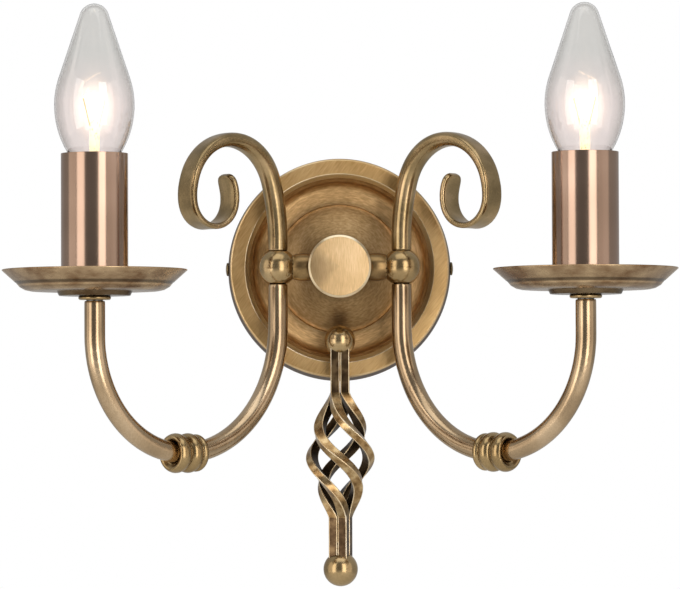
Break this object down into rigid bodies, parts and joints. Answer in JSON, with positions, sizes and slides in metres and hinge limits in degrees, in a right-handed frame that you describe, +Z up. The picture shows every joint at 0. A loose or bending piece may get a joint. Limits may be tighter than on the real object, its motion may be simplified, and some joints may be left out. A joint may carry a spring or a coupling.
{
  "type": "double arm wall sconce",
  "caption": "Candle-style wall light: round canopy with a hub, U-shaped arms under drip pans and candle lamps, scrolls above and a twisted basket drop below.",
  "frame": {"origin": "the point where the hub's axis meets the wall plane, at the centre of the bracket's fixing slots", "axes": "+X to the right seen from the room, +Y into the wall, +Z up"},
  "size_m": [0.2936, 0.1495, 0.2566],
  "materials": {
    "antique_brass": "antiqued, satin lacquered",
    "brushed_brass_face": "brushed, lacquered",
    "copper_bronze_sleeve": "brushed along its length, lacquered",
    "plain_brass": "plain turned",
    "plated_steel": "zinc plated",
    "white_moulding": "moulded",
    "black_moulding": "moulded",
    "lead_insulation": "matte",
    "clear_glass": "clear, blown",
    "nickel_cap": "rolled",
    "black_glass": "pressed",
    "solder": "soldered",
    "lead_wire": "drawn",
    "tungsten": "coiled wire"
  },
  "bodies": {
    "fitting": {"wall_bracket": "plated_steel", "earth_screw": "plain_brass", "terminal_block": "white_moulding", "terminal_screws": "plain_brass", "canopy": "antique_brass", "canopy_side_screws": "antique_brass", "hub": "antique_brass", "hub_knob": "brushed_brass_face", "hub_stem": "plated_steel", "hub_washer": "plated_steel", "hub_lock_nut": "plated_steel", "drop_rod": "plain_brass", "drop_nut": "plated_steel", "drop_top_ball": "antique_brass", "twist_bars": "antique_brass", "drop_finial_ball": "antique_brass", "pan_nuts": "plated_steel", "right_spigot": "antique_brass", "right_arm_ball": "antique_brass", "right_arm_tube": "antique_brass", "right_knot_collar": "antique_brass", "right_scroll": "antique_brass", "right_drip_pan": "antique_brass", "right_pan_collar": "antique_brass", "right_pan_nipple": "plated_steel", "right_holder_foot": "plated_steel", "right_holder_body": "black_moulding", "right_holder_shell": "plain_brass", "right_holder_contact": "plain_brass", "right_lead": "lead_insulation", "left_spigot": "antique_brass", "left_arm_ball": "antique_brass", "left_arm_tube": "antique_brass", "left_knot_collar": "antique_brass", "left_scroll": "antique_brass", "left_drip_pan": "antique_brass", "left_pan_collar": "antique_brass", "left_pan_nipple": "plated_steel", "left_holder_foot": "plated_steel", "left_holder_body": "black_moulding", "left_holder_shell": "plain_brass", "left_holder_contact": "plain_brass", "left_lead": "lead_insulation"},
    "right_sleeve": {"right_candle_sleeve": "copper_bronze_sleeve"},
    "right_bulb_rise": {"right_bulb_contact": "solder"},
    "right_bulb": {"right_bulb_glass": "clear_glass", "right_bulb_cap": "nickel_cap", "right_bulb_insulator": "black_glass", "right_bulb_stem": "clear_glass", "right_bulb_wires": "lead_wire", "right_bulb_filament": "tungsten"},
    "left_sleeve": {"left_candle_sleeve": "copper_bronze_sleeve"},
    "left_bulb_rise": {"left_bulb_contact": "solder"},
    "left_bulb": {"left_bulb_glass": "clear_glass", "left_bulb_cap": "nickel_cap", "left_bulb_insulator": "black_glass", "left_bulb_stem": "clear_glass", "left_bulb_wires": "lead_wire", "left_bulb_filament": "tungsten"}
  },
  "joints": [
    {"name": "right_sleeve_lift", "type": "slide", "parent": "fitting", "child": "right_sleeve", "axis": [0, 0, 1], "range_m": [0, 0.004]},
    {"name": "right_bulb_climb", "type": "slide", "parent": "fitting", "child": "right_bulb_rise", "axis": [0, 0, 1], "range_m": [0, 0.0142]},
    {"name": "right_bulb_unscrew", "type": "hinge", "parent": "right_bulb_rise", "child": "right_bulb", "pos_m": [0.10655, -0.10925, 0.047], "axis": [0, 0, 1], "range_deg": [0, 1800]},
    {"name": "left_sleeve_lift", "type": "slide", "parent": "fitting", "child": "left_sleeve", "axis": [0, 0, 1], "range_m": [0, 0.004]},
    {"name": "left_bulb_climb", "type": "slide", "parent": "fitting", "child": "left_bulb_rise", "axis": [0, 0, 1], "range_m": [0, 0.0142]},
    {"name": "left_bulb_unscrew", "type": "hinge", "parent": "left_bulb_rise", "child": "left_bulb", "pos_m": [-0.10655, -0.10925, 0.047], "axis": [0, 0, 1], "range_deg": [0, 1800]}
  ],
  "couplings": [
    {"joint": "right_bulb_climb", "follows": "right_bulb_unscrew", "m_per_rad": 0.00044914},
    {"joint": "left_bulb_climb", "follows": "left_bulb_unscrew", "m_per_rad": 0.00044914}
  ]
}
